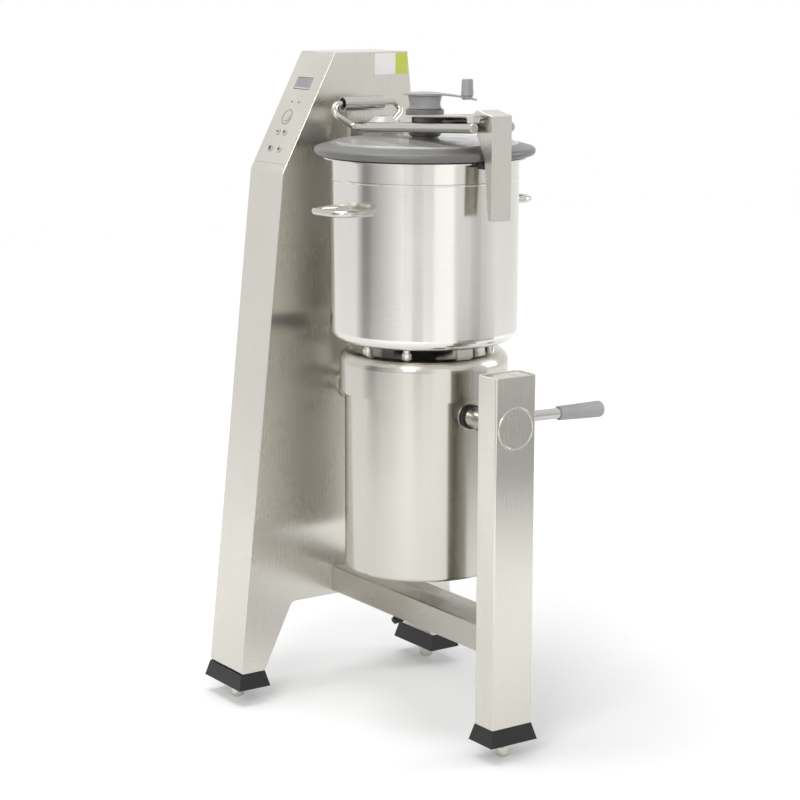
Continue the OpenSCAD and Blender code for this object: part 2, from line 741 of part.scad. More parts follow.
// Tilt lever, clamped on the post side trunnion
lever_hub_r = 22.5;
lever_hub_l = 24;
lever_x = post_x0 - lever_offset;
module at_lever() {
  translate([lever_x, 0, pivot_z]) rotate([-90 - lever_droop, 0, 0]) children();
}
module lever_rod() {
  color("lightgray") difference() {
    union() {
      translate([lever_x, 0, 0]) at_pivot()
        cylinder(r = lever_hub_r, h = lever_hub_l, center = true);
      at_lever() cylinder(r = lever_rod_r, h = lever_grip_start);
      at_lever() cylinder(r = lever_rod_r * 0.6, h = lever_grip_start + lever_grip_l * 0.8);
    }
    translate([lever_x, 0, 0]) at_pivot()
      cylinder(r = trunnion_r, h = lever_hub_l + 2 * over, center = true);
  }
}
grip_neck_share = 0.86;
module lever_grip() {
  color([0.66, 0.65, 0.65]) at_lever() translate([0, 0, lever_grip_start]) difference() {
    rotate_extrude() polygon(concat(
      [[0, 0], [lever_grip_r * grip_neck_share - over, 0], [lever_grip_r * grip_neck_share, over]],
      arc(
        lever_grip_r * 0.5, lever_grip_l - lever_grip_r * 0.5, lever_grip_r * 0.5, 0, 90
      ),
      [[0, lever_grip_l]]
    ));
    translate([0, 0, -over]) cylinder(r = lever_rod_r * 0.6 + fit, h = lever_grip_l * 0.8 + 2 * over);
  }
}

// Studs and lugs that carry the bowl on the drum's cap
stud_angles = [-92, -50, 50, 92];
stud_reach = 122;
stud_base_r = 9;
stud_pin_r = 6;
lug_w = 34;
lug_d = 14;
module support_studs() {
  color("lightgray") at_bowl() {
    for (a = stud_angles) rotate(a) translate([stud_reach, 0, cap_top]) {
      cylinder(r = stud_base_r, h = stud_h * 0.45);
      cylinder(r = stud_pin_r, h = stud_h);
    }
    for (a = [0, 180]) rotate(a) translate([stud_reach, 0, cap_top + stud_h / 2])
      cube([lug_d, lug_w, stud_h], center = true);
  }
}
seal_disc_lip = 8;
seal_disc_r = shaft_hole_r + seal_disc_lip;
seal_gap = 0.5;
seal_neck_wall = 4;
module shaft_seal() {
  color([0.12, 0.12, 0.13]) at_bowl() {
    ring(shaft_r + seal_gap, seal_disc_r, cap_top, cap_top + stud_h * 0.5);
    ring(shaft_r + seal_gap, shaft_r + seal_neck_wall, cap_top, cap_top + stud_h);
    ring(shaft_r + seal_gap, shaft_hole_r - fit, cap_top - drum_wall, cap_top);
  }
}

// Bowl with a middle chimney round the shaft
chimney_gap = 8.5;
chimney_r = shaft_r + chimney_gap;
bead_h = 4;
bead_out = 0.8;
bead_z = rim_z - bead_drop;
module bowl() {
  color("lightgray") at_bowl() rotate_extrude() polygon(concat(
    [[chimney_r - bowl_wall, bowl_z]],
    arc(bowl_r - bowl_round, bowl_z + bowl_round, bowl_round, -90, 0),
    [
      [bowl_r, bead_z - bead_h / 2], [bowl_r + bead_out, bead_z - bead_h / 4],
      [bowl_r + bead_out, bead_z + bead_h / 4], [bowl_r, bead_z + bead_h / 2]
    ],
    [[bowl_r, rim_z], [bowl_r - bowl_wall, rim_z]],
    arc(bowl_r - bowl_round, bowl_z + bowl_round, bowl_round - bowl_wall, 0, -90),
    [
      [chimney_r, bowl_z + bowl_wall], [chimney_r, bowl_z + chimney_h],
      [chimney_r - bowl_wall, bowl_z + chimney_h]
    ]
  ));
}
// Flat flange that is welded round the bowl's mouth
module bowl_rim() {
  color("lightgray") at_bowl() ring(bowl_r + fit, rim_r, rim_z - bowl_wall, rim_z);
}
gasket_inset = 1;
module bowl_gasket() {
  color([0.1, 0.1, 0.1]) at_bowl()
    ring(bowl_r + gasket_inset, rim_r, rim_z, rim_z + gasket_h);
}
handle_bend_r = 26;
module bowl_handle(side) {
  z = rim_z - handle_drop;
  at_bowl() rotate(handle_turn) difference() {
    bent_rod([
      [-handle_half, side * (bowl_r - handle_half / 2), z],
      [-handle_half, side * handle_reach, z],
      [handle_half, side * handle_reach, z],
      [handle_half, side * (bowl_r - handle_half / 2), z]
    ], handle_rod_r, handle_bend_r);
    translate([0, 0, bowl_z]) cylinder(r = bowl_r, h = bowl_h);
  }
}
module bowl_handle_front() { color("lightgray") bowl_handle(-1); }
module bowl_handle_rear() { color("lightgray") bowl_handle(1); }

// Upright behind the bowl that carries the arm's hinge
upright_w = 12;
upright_d = 50;
upright_foot_h = 40;
upright_top = sleeve_r * 0.7;
module lid_support_post() {
  x1 = hinge_x - sleeve_r - fit;
  color("silver") difference() {
    union() {
      translate([x1 - upright_w, -upright_d / 2, cap_z + cap_lip_h])
        cube([upright_w, upright_d, hinge_z + upright_top - cap_z - cap_lip_h]);
      translate([x1 - over, -upright_d / 2, cap_z + cap_lip_h])
        cube([body_x - x1 - cap_r / 2, upright_d, upright_foot_h]);
    }
    at_bowl() translate([0, 0, drum_z]) cylinder(r = cap_r + fit, h = column_h);
  }
}
sleeve_wall = 1.5;
sleeve_bush_l = 14;
sleeve_bush_inset = 5;
sleeve_shift = 8;
module at_hinge() {
  translate([hinge_x, -sleeve_shift, hinge_z]) rotate([-90, 0, 0]) children();
}
module hinge_sleeve() {
  color("lightgray") at_hinge() ring(sleeve_r - sleeve_wall, sleeve_r, -sleeve_l / 2, sleeve_l / 2);
}
module hinge_bushes() {
  color("dimgray") for (side = [-1, 1]) at_hinge()
    translate([0, 0, side * (sleeve_l / 2 - sleeve_bush_inset - sleeve_bush_l / 2)])
      ring(rod_r + running, sleeve_r - sleeve_wall, -sleeve_bush_l / 2, sleeve_bush_l / 2);
}

// Rotor, shaft and the blades on their hub
rotor_gap = 0.6;
shaft_rise = 30;
shaft_top = bowl_z + chimney_h + shaft_rise;
module motor_rotor() {
  color("gray") at_bowl() union() {
    translate([0, 0, lower_shield_z + shield_t / 3 + seat])
      cylinder(r = shaft_r, h = shaft_top - lower_shield_z - shield_t / 3 - seat);
    translate([0, 0, stator_z]) cylinder(r = stator_bore_r - rotor_gap, h = stator_h);
  }
}
hub_gap = 3;
hub_bore_r = chimney_r + hub_gap;
hub_headroom = 4;
hub_z = bowl_z + bowl_wall + blade_floor_gap / 2;
hub_top = shaft_top + 14;
module blade_hub() {
  color("lightgray") at_bowl() difference() {
    rotate_extrude() polygon(concat(
      [[0, hub_z], [blade_hub_r, hub_z], [blade_hub_r, hub_top - blade_hub_r * 0.5]],
      arc(blade_hub_r * 0.5, hub_top - blade_hub_r * 0.5, blade_hub_r * 0.5, 0, 90),
      [[0, hub_top]]
    ));
    translate([0, 0, hub_z - over])
      cylinder(r = hub_bore_r, h = bowl_z + chimney_h + hub_headroom - hub_z + over);
    translate([0, 0, hub_z - over]) cylinder(r = shaft_r, h = shaft_top - hub_z + over);
  }
}
// One sickle blade: a crescent between two arcs, with a scalloped cutting edge
scallops = 9;
scallop_r = 5;
blade_ring_w = 6;
module blade_outline() {
  sickle_r = blade_reach * 0.56;
  union() {
    difference() {
      circle(r = blade_hub_r + blade_ring_w);
      circle(r = blade_hub_r);
    }
    difference() {
      translate([blade_reach - sickle_r, 0]) circle(r = sickle_r);
      translate([blade_reach - sickle_r - blade_hub_r * 0.35, blade_hub_r * 0.85])
        circle(r = sickle_r);
      circle(r = blade_hub_r + blade_ring_w / 2);
      for (i = [0:scallops - 1]) let (a = -14 - i * 11)
        translate([
          blade_reach - sickle_r + (sickle_r + scallop_r * 0.55) * cos(a),
          (sickle_r + scallop_r * 0.55) * sin(a)
        ]) circle(r = scallop_r);
    }
  }
}
module blade(level, turn) {
  z = bowl_z + bowl_wall + blade_floor_gap + level * blade_step;
  color("gainsboro") at_bowl() translate([0, 0, z]) rotate(turn)
    linear_extrude(blade_t) blade_outline();
}
module blade_lower() { blade(0, 20); }
module blade_middle() { blade(1, 140); }
module blade_upper() { blade(2, 260); }

// Lid arm: a bent hinge rod, two tubes, a folded cover and the clamp's yoke
loop_reach = 102;
rod_bend_r = 14;
rod_insert = 60;
module hinge_rod() {
  hx = arm_drop * sin(arm_slope);
  hz = arm_drop * cos(arm_slope);
  color("lightgray") in_arm() bent_rod([
    [rod_insert, -arm_half, 0], [rod_toe, -arm_half, 0], [hx, -loop_reach, hz],
    [hx, loop_reach, hz], [rod_toe, arm_half, 0], [rod_insert, arm_half, 0]
  ], rod_r, rod_bend_r);
}
tube_start = 39;
tube_wall = 2.2;
tube_end = (hinge_reach + arm_reach) / cos(arm_slope);
tube_end_round = 2;
module arm_tubes() {
  color("lightgray") in_arm() for (side = [-1, 1])
    translate([tube_start, side * arm_half, 0]) rotate([0, 90, 0]) rotate_extrude() polygon(concat(
      [[rod_r + fit, 0], [arm_tube_r - tube_wall / 2, 0], [arm_tube_r, tube_wall / 2]],
      arc(
        arm_tube_r - tube_end_round, tube_end - tube_start - tube_end_round, tube_end_round, 0, 90, 4
      ),
      [[0, tube_end - tube_start], [0, tube_end - tube_start - tube_wall]],
      [[rod_r + fit, tube_end - tube_start - tube_wall]]
    ));
}
// Stations of the cover along the arm, measured from the hinge
cover_x0 = 172;
cover_x1 = 397;
window_x0 = 208;
window_x1 = 376;
window_round = 4;
cover_notch_x = 361;
cover_t = 2;
cover_bar = 1;
cover_wall_out = arm_half;
notch_gap = 3;
notch_side_share = 0.6;
notch_half = clamp_half + notch_gap * notch_side_share;
module arm_cover() {
  wall_z = arm_tube_r + fit;
  color("silver") in_arm() difference() {
    translate([cover_x0, -cover_wall_out, wall_z])
      cube([cover_x1 - cover_x0, 2 * cover_wall_out, cover_rise - wall_z]);
    translate([cover_x0 - over, -cover_wall_out + cover_t, wall_z - over])
      cube([
        cover_x1 - cover_x0 + 2 * over, 2 * (cover_wall_out - cover_t),
        cover_rise - wall_z - cover_t + over
      ]);
    translate([0, -cover_wall_out + cover_t / 2, 0]) along_y(cover_t) polygon(rounded([
      [window_x0, arm_tube_r - window_round], [window_x1, arm_tube_r - window_round],
      [window_x1, cover_rise - cover_t - cover_bar], [window_x0, cover_rise - cover_t - cover_bar]
    ], [over, over, window_round, window_round]));
    translate([cover_notch_x, -clamp_half - notch_gap, wall_z - over])
      cube([cover_x1, 2 * (clamp_half + notch_gap), cover_rise]);
    translate([hinge_reach / cos(arm_slope), 0, 0])
      cylinder(r = housing_collar_r + notch_gap / 2, h = 2 * cover_rise);
  }
}
yoke_x0 = 346;
yoke_x1 = 364;
yoke_up = 4;
lug_half = 12;
lug_r = 9;
lug_t = 9;
clamp_pin_r = 5;
module clamp_yoke() {
  lug_z = hinge_z - arm_drop + yoke_x1 * tan(arm_slope) + yoke_up - over - lug_t;
  color("lightgray") difference() {
    union() {
      in_arm() translate([yoke_x0, -arm_half + arm_tube_r + fit, -arm_tube_r])
        cube([yoke_x1 - yoke_x0, 2 * (arm_half - arm_tube_r - fit), arm_tube_r + yoke_up]);
      translate([clamp_pin_x, lug_half, clamp_pin_z]) rotate([90, 0, 0])
        cylinder(r = lug_r, h = 2 * lug_half);
      translate([clamp_pin_x - lug_r, -lug_half, lug_z])
        cube([2 * lug_r, 2 * lug_half, clamp_pin_z - lug_z]);
      translate([hinge_x + yoke_x1 - 2 * over, -lug_half, lug_z])
        cube([clamp_pin_x - hinge_x - yoke_x1 + over, 2 * lug_half, lug_t]);
    }
    translate([clamp_pin_x, 0, clamp_pin_z]) rotate([90, 0, 0])
      cylinder(r = clamp_pin_r + running, h = 4 * lug_half, center = true);
  }
}
pin_head_r = 6.5;
pin_head_t = 2;
module clamp_pin() {
  color("lightgray") translate([clamp_pin_x, 0, clamp_pin_z]) rotate([90, 0, 0]) union() {
    cylinder(r = clamp_pin_r, h = 2 * (clamp_half + seat), center = true);
    for (side = [-1, 1]) translate([0, 0, side * (clamp_half + seat + pin_head_t / 2)])
      cylinder(r = pin_head_r, h = pin_head_t, center = true);
  }
}

// Lid: a moulded ring with a clear dome and a feed hopper
spigot_h = 6;
spigot_wall = 5;
spigot_r = dome_r + spigot_wall;
seat_w = 9;
seat_share = 0.75;
seat_z = lid_z + lid_ring_h - seat_share * dome_step;
dome_seat_r = dome_r + seat_w;
lid_top = lid_z + lid_ring_h;
ring_round = 7;
module lid_ring() {
  color([0.57, 0.57, 0.59]) difference() {
    at_bowl() rotate_extrude() polygon(concat(
      [[dome_r - 1, lid_z - spigot_h], [spigot_r, lid_z - spigot_h], [spigot_r, lid_z]],
      arc(lid_r - ring_round, lid_z + ring_round, ring_round, -90, 0),
      arc(lid_r - ring_round, lid_z + lid_edge_h - ring_round, ring_round, 0, 78),
      [[dome_seat_r, seat_z], [dome_seat_r, seat_z - dome_t], [dome_r - 1, seat_z - dome_t]]
    ));
    translate([body_x + clamp_reach - clamp_notch, -notch_half, lid_z - over])
      cube([clamp_reach, 2 * notch_half, lid_ring_h + 2 * over]);
  }
}
dome_steps = 10;
housing_stub_r = 13;
// Height of the dome's upper surface at a radius
function dome_top(r) = lid_top + dome_step + dome_rise * (1 - pow(r / dome_r, 2));
dome_rim = [[dome_seat_r - fit, seat_z], [dome_r + dome_step, lid_top]];
module dome_profile(z0) {
  polygon(concat(
    [[0, z0], [dome_seat_r - fit, z0]],
    dome_rim,
    [for (i = [dome_steps:-1:0]) let (r = dome_r * i / dome_steps) [r, dome_top(r)]]
  ));
}
hopper_wall = 2.5;
hopper_bore_r = hopper_r - hopper_wall;
module lid_dome() {
  inner_r = dome_r - dome_t;
  color([0.9, 0.9, 0.88, 0.6]) at_bowl() difference() {
    rotate_extrude() polygon(concat(
      [[housing_stub_r + fit, dome_top(0) - dome_t]],
      [for (i = [2:dome_steps]) let (r = inner_r * i / dome_steps) [r, dome_top(r) - dome_t]],
      [[inner_r, seat_z - dome_t], [dome_seat_r - fit, seat_z - dome_t]],
      dome_rim,
      [for (i = [dome_steps:-1:2]) let (r = dome_r * i / dome_steps) [r, dome_top(r)]],
      [[housing_stub_r + fit, dome_top(0)]]
    ));
    translate([-hopper_reach, 0, lid_z]) cylinder(r = hopper_bore_r, h = 2 * lid_ring_h);
  }
}
// The hopper is a low cone whose flanks are cut flat to pass between the arm's tubes
hopper_foot_h = 16;
hopper_cone_h = 20;
hopper_lip = 1.5;
module lid_hopper() {
  z0 = lid_top + dome_step + fit;
  half = arm_half - arm_tube_r - notch_gap / 2;
  color([0.9, 0.9, 0.88]) at_bowl() difference() {
    intersection() {
      translate([-hopper_reach, 0, z0]) rotate_extrude() polygon([
        [hopper_bore_r, 0], [hopper_foot_r, 0], [hopper_foot_r, hopper_foot_h],
        [mix(hopper_foot_r, hopper_r, 0.5), hopper_foot_h + hopper_cone_h * 0.55],
        [hopper_r + hopper_lip, hopper_foot_h + hopper_cone_h - hopper_lip / 2],
        [hopper_r, hopper_foot_h + hopper_cone_h],
        [hopper_bore_r, hopper_foot_h + hopper_cone_h]
      ]);
      translate([-hopper_reach, 0, z0 + hopper_cone_h])
        cube([2 * hopper_foot_r + over, 2 * half, 2 * (hopper_cone_h + over)], center = true);
    }
    rotate_extrude() dome_profile(lid_z - over);
  }
}

// Wiper: a housing through the arm's cover, a shaft, a crank and a blade under the dome
housing_r = 29.5;
housing_foot_r = 24;
housing_foot_h = 3;
housing_collar_r = 34.5;
housing_collar_h = 8;
housing_edge = 1.5;
wiper_shaft_r = 6;
housing_nut_r = 20;
housing_nut_h = 6;
// Heights over the arm, taken at the far side of the collar, where the arm is highest there
collar_arm_z = hinge_z - arm_drop + (hinge_reach + housing_collar_r) * tan(arm_slope);
collar_z = collar_arm_z + arm_tube_r / cos(arm_slope) + seat;
housing_top = collar_arm_z + cover_rise / cos(arm_slope) + seat + housing_collar_h;
module wiper_housing() {
  z0 = dome_top(0) - dome_t - housing_nut_h;
  z1 = dome_top(0) + fit;
  color([0.55, 0.55, 0.57]) at_bowl() rotate_extrude() polygon([
    [wiper_shaft_r + running, z0], [housing_nut_r, z0], [housing_nut_r, z0 + housing_nut_h - 1],
    [housing_stub_r, z0 + housing_nut_h - 1], [housing_stub_r, z1],
    [housing_foot_r, z1], [housing_foot_r, z1 + housing_foot_h],
    [housing_r - housing_foot_h, z1 + housing_foot_h], [housing_r, z1 + 2 * housing_foot_h],
    [housing_r, collar_z], [housing_collar_r, collar_z],
    [housing_collar_r, housing_top - housing_edge], [housing_collar_r - housing_edge, housing_top],
    [wiper_shaft_r + running, housing_top]
  ]);
}
crank_z = housing_top + seat;
crank_top = crank_z + crank_h;
crank_turn = 55;
crank_t = 3.5;
crank_tip_drop = 12;
crank_flare = 0.5;
crank_rim = 1;
crank_step = 3.5;
crank_flare_r = crank_base_r + crank_flare;
crank_groove = 1.5;
crank_tip_r = 12;
crank_tip_ahead = 6;
crank_span = knob_reach + crank_tip_ahead + crank_tip_r;
shaft_grip_h = 22;
module crank_arm_plan() {
  union() {
    polygon([
      [0, -crank_r * 0.72], [knob_reach, -crank_tip_r], [knob_reach, crank_tip_r], [0, crank_r * 0.72]
    ]);
    translate([knob_reach + crank_tip_ahead, 0]) circle(r = crank_tip_r);
    circle(r = crank_r);
  }
}
// Side of the crank's arm: level over the hub, then a gentle droop to the tip
function droop(x) = crank_tip_drop * pow(x / crank_span, 2);
crank_arm_steps = 8;
module crank_arm_side() {
  xs = [for (i = [0:crank_arm_steps]) crank_span * i / crank_arm_steps];
  polygon(concat(
    [[-crank_r, crank_top - crank_t / 4], [-crank_r, crank_top - crank_t]],
    [for (x = xs) [x, crank_top - droop(x) - crank_t * (1 - x / crank_span / 3)]],
    [for (i = [crank_arm_steps:-1:0]) [xs[i], crank_top - droop(xs[i])]]
  ));
}
knob_pin_r = 4;
knob_foot_z = crank_top - droop(knob_reach - knob_r) + seat;
knob_boss_z = crank_top - droop(knob_reach + knob_r) - crank_t / 2;
knob_pin_top = 5;
module crank() {
  color([0.59, 0.6, 0.61]) at_bowl() rotate(crank_turn) difference() {
    union() {
      rotate_extrude() polygon([
        [0, crank_z], [crank_base_r - crank_rim, crank_z], [crank_base_r, crank_z + crank_rim],
        [crank_base_r, crank_z + 2 * crank_rim], [crank_waist_r + crank_rim, crank_z + crank_step],
        [crank_waist_r, crank_z + crank_h * 0.22], [crank_waist_r, crank_z + crank_h * 0.34],
        [mix(crank_waist_r, crank_flare_r, 0.35), crank_z + crank_h * 0.6],
        [crank_flare_r, crank_top - crank_t - 1.5 * crank_groove],
        [crank_flare_r, crank_top - crank_t - crank_groove],
        [crank_flare_r - crank_groove, crank_top - crank_t - crank_groove],
        [crank_flare_r - crank_groove, crank_top - crank_t / 2], [0, crank_top - crank_t / 2]
      ]);
      intersection() {
        translate([0, 0, crank_z]) linear_extrude(crank_h) crank_arm_plan();
        along_y(crank_r) crank_arm_side();
      }
      translate([knob_reach, 0, knob_boss_z])
        cylinder(r = knob_pin_r, h = knob_foot_z + knob_h - knob_pin_top - knob_boss_z);
      translate([knob_reach, 0, knob_boss_z])
        cylinder(r = knob_r - crank_t / 2, h = knob_foot_z - seat - knob_boss_z);
    }
    translate([0, 0, crank_z - over]) cylinder(r = wiper_shaft_r, h = shaft_grip_h + over);
  }
}
module crank_knob() {
  color([0.6, 0.61, 0.62]) at_bowl() rotate(crank_turn) translate([knob_reach, 0, knob_foot_z])
    rotate_extrude() polygon([
      [knob_pin_r + running, 0], [knob_r - 0.5, 0], [knob_r, 1],
      [knob_r - 1.4, knob_h - 1.5], [knob_r - 2.6, knob_h], [0, knob_h],
      [0, knob_h - knob_pin_top + 1], [knob_pin_r + running, knob_h - knob_pin_top + 1]
    ]);
}
wiper_lift = 8;
wiper_z = lid_z + wiper_lift;
wiper_toe = 12;
wiper_toe_rise = 5;
wiper_t = 4;
wiper_reach = 148;
wiper_gap = 0.5;
wiper_hub_r = 12;
module wiper_shaft() {
  color("lightgray") at_bowl() translate([0, 0, wiper_z])
    cylinder(r = wiper_shaft_r, h = crank_z + shaft_grip_h - wiper_z);
}
module wiper_blade() {
  z1 = dome_top(0) - dome_t - housing_nut_h - seat;
  color([0.85, 0.85, 0.83]) at_bowl() difference() {
    union() {
      translate([0, 0, wiper_z]) cylinder(r = wiper_hub_r, h = z1 - wiper_z);
      along_y(wiper_t / 2) polygon(concat(
        [[0, wiper_z], [wiper_reach - wiper_toe, wiper_z], [wiper_reach, wiper_z + wiper_toe_rise]],
        [for (i = [10:-1:2]) let (r = mix(housing_nut_r + 2, wiper_reach, (i - 2) / 8))
          [r, dome_top(r) - dome_t - wiper_gap]],
        [[housing_nut_r + 2, z1], [0, z1]]
      ));
    }
    translate([0, 0, wiper_z - over]) cylinder(r = wiper_shaft_r, h = lid_ring_h + dome_rise);
  }
}

// Clamp lever: a folded channel with a hook pad under the lid's ring
clamp_sheet = 2;
lobe_from = 66;
lobe_to = 195;
neck_steps = 3;
neck_step_share = 0.16;
function clamp_side() = let (
  x1 = body_x + clamp_reach,
  low = clamp_pin_z - clamp_down
) concat(
  [[x1 - clamp_tip_d, low], [x1, low], [x1, clamp_pin_z + clamp_up]],
  arc(clamp_pin_x, clamp_pin_z, clamp_lobe_r, lobe_from, lobe_to),
  [[x1 - clamp_d, lid_top + clamp_sheet], [x1 - clamp_neck_d, lid_z + ring_round]]
);
module clamp_lever() {
  side = clamp_side();
  hollow = inset(side, clamp_sheet);
  color("silver") difference() {
    along_y(clamp_half) polygon(side);
    for (i = [0:neck_steps]) translate([-i * neck_step_share * clamp_neck_d, 0, 0])
      along_y(clamp_half - clamp_sheet) polygon(hollow);
    translate([clamp_pin_x, 0, clamp_pin_z]) rotate([90, 0, 0])
      cylinder(r = clamp_pin_r + running, h = 4 * clamp_half, center = true);
  }
}
pad_gap = 1.5;
pad_d = 14;
pad_h = 12;
module clamp_pad() {
  x0 = body_x + rim_r + pad_gap;
  x1 = body_x + clamp_reach - clamp_sheet;
  half = clamp_half - clamp_sheet - fit;
  color([0.08, 0.08, 0.08]) {
    translate([x0, -half, lid_z - seat - pad_h]) cube([pad_d, 2 * half, pad_h]);
    translate([x0 + pad_d - over, -half, lid_z - seat - pad_h])
      cube([x1 - x0 - pad_d + over, 2 * half, pad_h * 0.7]);
  }
}

column_shell();
column_cover();
cover_screws();
control_panel();
display_window();
indicator_lamps();
control_board();
cable_gland();
cross_beam();
post();
post_cap();
pivot_cap();
pivot_bushes();
feet();
levelling_pads();
button_pulse();
button_plus();
button_minus();
button_start();
button_stop();
motor_drum();
drum_cap();
motor_stator();
motor_end_shields();
motor_bearings();
trunnions();
trunnion_seal();
lever_rod();
lever_grip();
support_studs();
shaft_seal();
bowl();
bowl_rim();
bowl_gasket();
bowl_handle_front();
bowl_handle_rear();
lid_support_post();
hinge_sleeve();
hinge_bushes();
motor_rotor();
blade_hub();
blade_lower();
blade_middle();
blade_upper();
hinge_rod();
arm_tubes();
arm_cover();
clamp_yoke();
clamp_pin();
lid_ring();
lid_dome();
lid_hopper();
wiper_housing();
clamp_lever();
clamp_pad();
crank();
wiper_shaft();
wiper_blade();
crank_knob();
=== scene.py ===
"""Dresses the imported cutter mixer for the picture: finishes, trim, floor, lamps and camera."""

import math

import bpy
from mathutils import Matrix, Vector


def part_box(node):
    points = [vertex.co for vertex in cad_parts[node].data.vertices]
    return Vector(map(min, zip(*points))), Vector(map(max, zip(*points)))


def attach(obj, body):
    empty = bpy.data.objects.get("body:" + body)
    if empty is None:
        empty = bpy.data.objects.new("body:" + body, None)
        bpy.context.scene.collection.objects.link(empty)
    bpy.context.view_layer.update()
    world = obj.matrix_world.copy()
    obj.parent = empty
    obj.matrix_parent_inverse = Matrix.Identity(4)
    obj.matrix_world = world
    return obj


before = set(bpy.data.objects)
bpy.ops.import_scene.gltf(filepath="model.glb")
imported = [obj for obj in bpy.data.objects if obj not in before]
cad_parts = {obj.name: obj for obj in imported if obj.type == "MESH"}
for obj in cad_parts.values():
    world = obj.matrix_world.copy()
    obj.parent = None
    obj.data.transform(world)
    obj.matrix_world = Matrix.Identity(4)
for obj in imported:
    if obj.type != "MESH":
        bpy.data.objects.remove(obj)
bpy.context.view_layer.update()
bpy.ops.object.select_all(action="DESELECT")

MM = 0.001


# Node and colour helpers
def linear(hex_colour):
    """An sRGB hex colour as the linear colour that a socket takes."""
    parts = [int(hex_colour[i:i + 2], 16) / 255 for i in (1, 3, 5)]
    curve = [c / 12.92 if c <= 0.04045 else ((c + 0.055) / 1.055) ** 2.4 for c in parts]
    return (*curve, 1.0)


def wire(tree, node, inputs):
    """Sets a node's inputs, by name or number, and links those that are given a socket."""
    for name, value in inputs.items():
        if isinstance(value, bpy.types.NodeSocket):
            tree.links.new(value, node.inputs[name])
        else:
            node.inputs[name].default_value = value


def add(tree, kind, inputs=None, **settings):
    """A new shader node with its settings and its inputs."""
    node = tree.nodes.new("ShaderNode" + kind)
    for name, value in settings.items():
        setattr(node, name, value)
    wire(tree, node, inputs or {})
    return node


def new_material(name):
    """A new material with its node tree and its shader."""
    material = bpy.data.materials.new(name)
    material.use_nodes = True
    tree = material.node_tree
    return material, tree, tree.nodes["Principled BSDF"]


def per_mm(size):
    """The noise scale, on coordinates in metres, whose features are about this many mm."""
    return 1.0 / (size * MM)


# Most of a noise lies between these values
NOISE_RANGE = {"From Min": 0.3, "From Max": 0.7}
GRAIN_RANGE = {"From Min": 0.25, "From Max": 0.75}

# Metals: one mark of the belt or the lathe, and the clouds that wiping leaves, in mm
GRAIN_LENGTH = 90
GRAIN_WIDTH = 0.9
WIPE_SIZE = 160
WIPE_GLOSS = 0.03
GRAIN_BUMP = 0.06
GRAIN_PULL = 0.6
QUARTER_TURN = 0.25
UPRIGHT = 2


def brushed(name, colour, dark, roughness, spread, axis, depth):
    """Stainless sheet brushed along one axis, or round the upright axis where axis is None."""
    material, tree, shader = new_material(name)
    place = add(tree, "TexCoord").outputs["Object"]
    long, fine = per_mm(GRAIN_LENGTH), per_mm(GRAIN_WIDTH)
    if axis is None:
        # Rings round the upright axis: the grain changes fast with height and hardly with angle
        centre = add(tree, "Mapping", {"Vector": place, "Location": (-BOWL_X, 0, 0)})
        scale = (long, long, fine)
        place = centre.outputs["Vector"]
    else:
        scale = tuple(long if i == axis else fine for i in range(3))
    stretch = add(tree, "Mapping", {"Vector": place, "Scale": scale})
    grain = add(tree, "TexNoise", {
        "Vector": stretch.outputs["Vector"], "Scale": 1.0, "Detail": 4.0, "Roughness": 0.6,
    }).outputs["Fac"]
    cloud = add(tree, "TexNoise", {"Vector": place, "Scale": per_mm(WIPE_SIZE), "Detail": 3.0})
    tone = add(tree, "MapRange", {**NOISE_RANGE, "Value": grain})
    tint = add(tree, "Mix", {
        "Factor": tone.outputs["Result"], "A": linear(dark), "B": linear(colour),
    }, data_type="RGBA")
    shade = add(tree, "MapRange", {
        **GRAIN_RANGE, "Value": grain,
        "To Min": roughness - spread, "To Max": roughness + spread,
    })
    wear = add(tree, "MapRange", {
        **NOISE_RANGE, "Value": cloud.outputs["Fac"],
        "To Min": -WIPE_GLOSS, "To Max": WIPE_GLOSS,
    })
    gloss = add(tree, "Math", {
        0: shade.outputs["Result"], 1: wear.outputs["Result"],
    }, operation="ADD")
    bump = add(tree, "Bump", {
        "Height": grain, "Strength": GRAIN_BUMP, "Distance": depth * MM,
    })
    turn = add(tree, "Tangent", direction_type="RADIAL", axis="Z")
    wire(tree, shader, {
        "Base Color": tint.outputs["Result"],
        "Roughness": gloss.outputs["Value"],
        "Normal": bump.outputs["Normal"],
        "Tangent": turn.outputs["Tangent"],
        "Metallic": 1.0,
        "Anisotropic": GRAIN_PULL,
        "Anisotropic Rotation": 0.0 if axis == UPRIGHT else QUARTER_TURN,
    })
    return material


# Plastics: the clouds that the flow in the mould leaves, in mm, and the play of gloss and bump
FLOW_SIZE = 45
GRIT_GLOSS = 0.06
GRIT_BUMP = 0.3
COAT_ROUGHNESS = 0.15


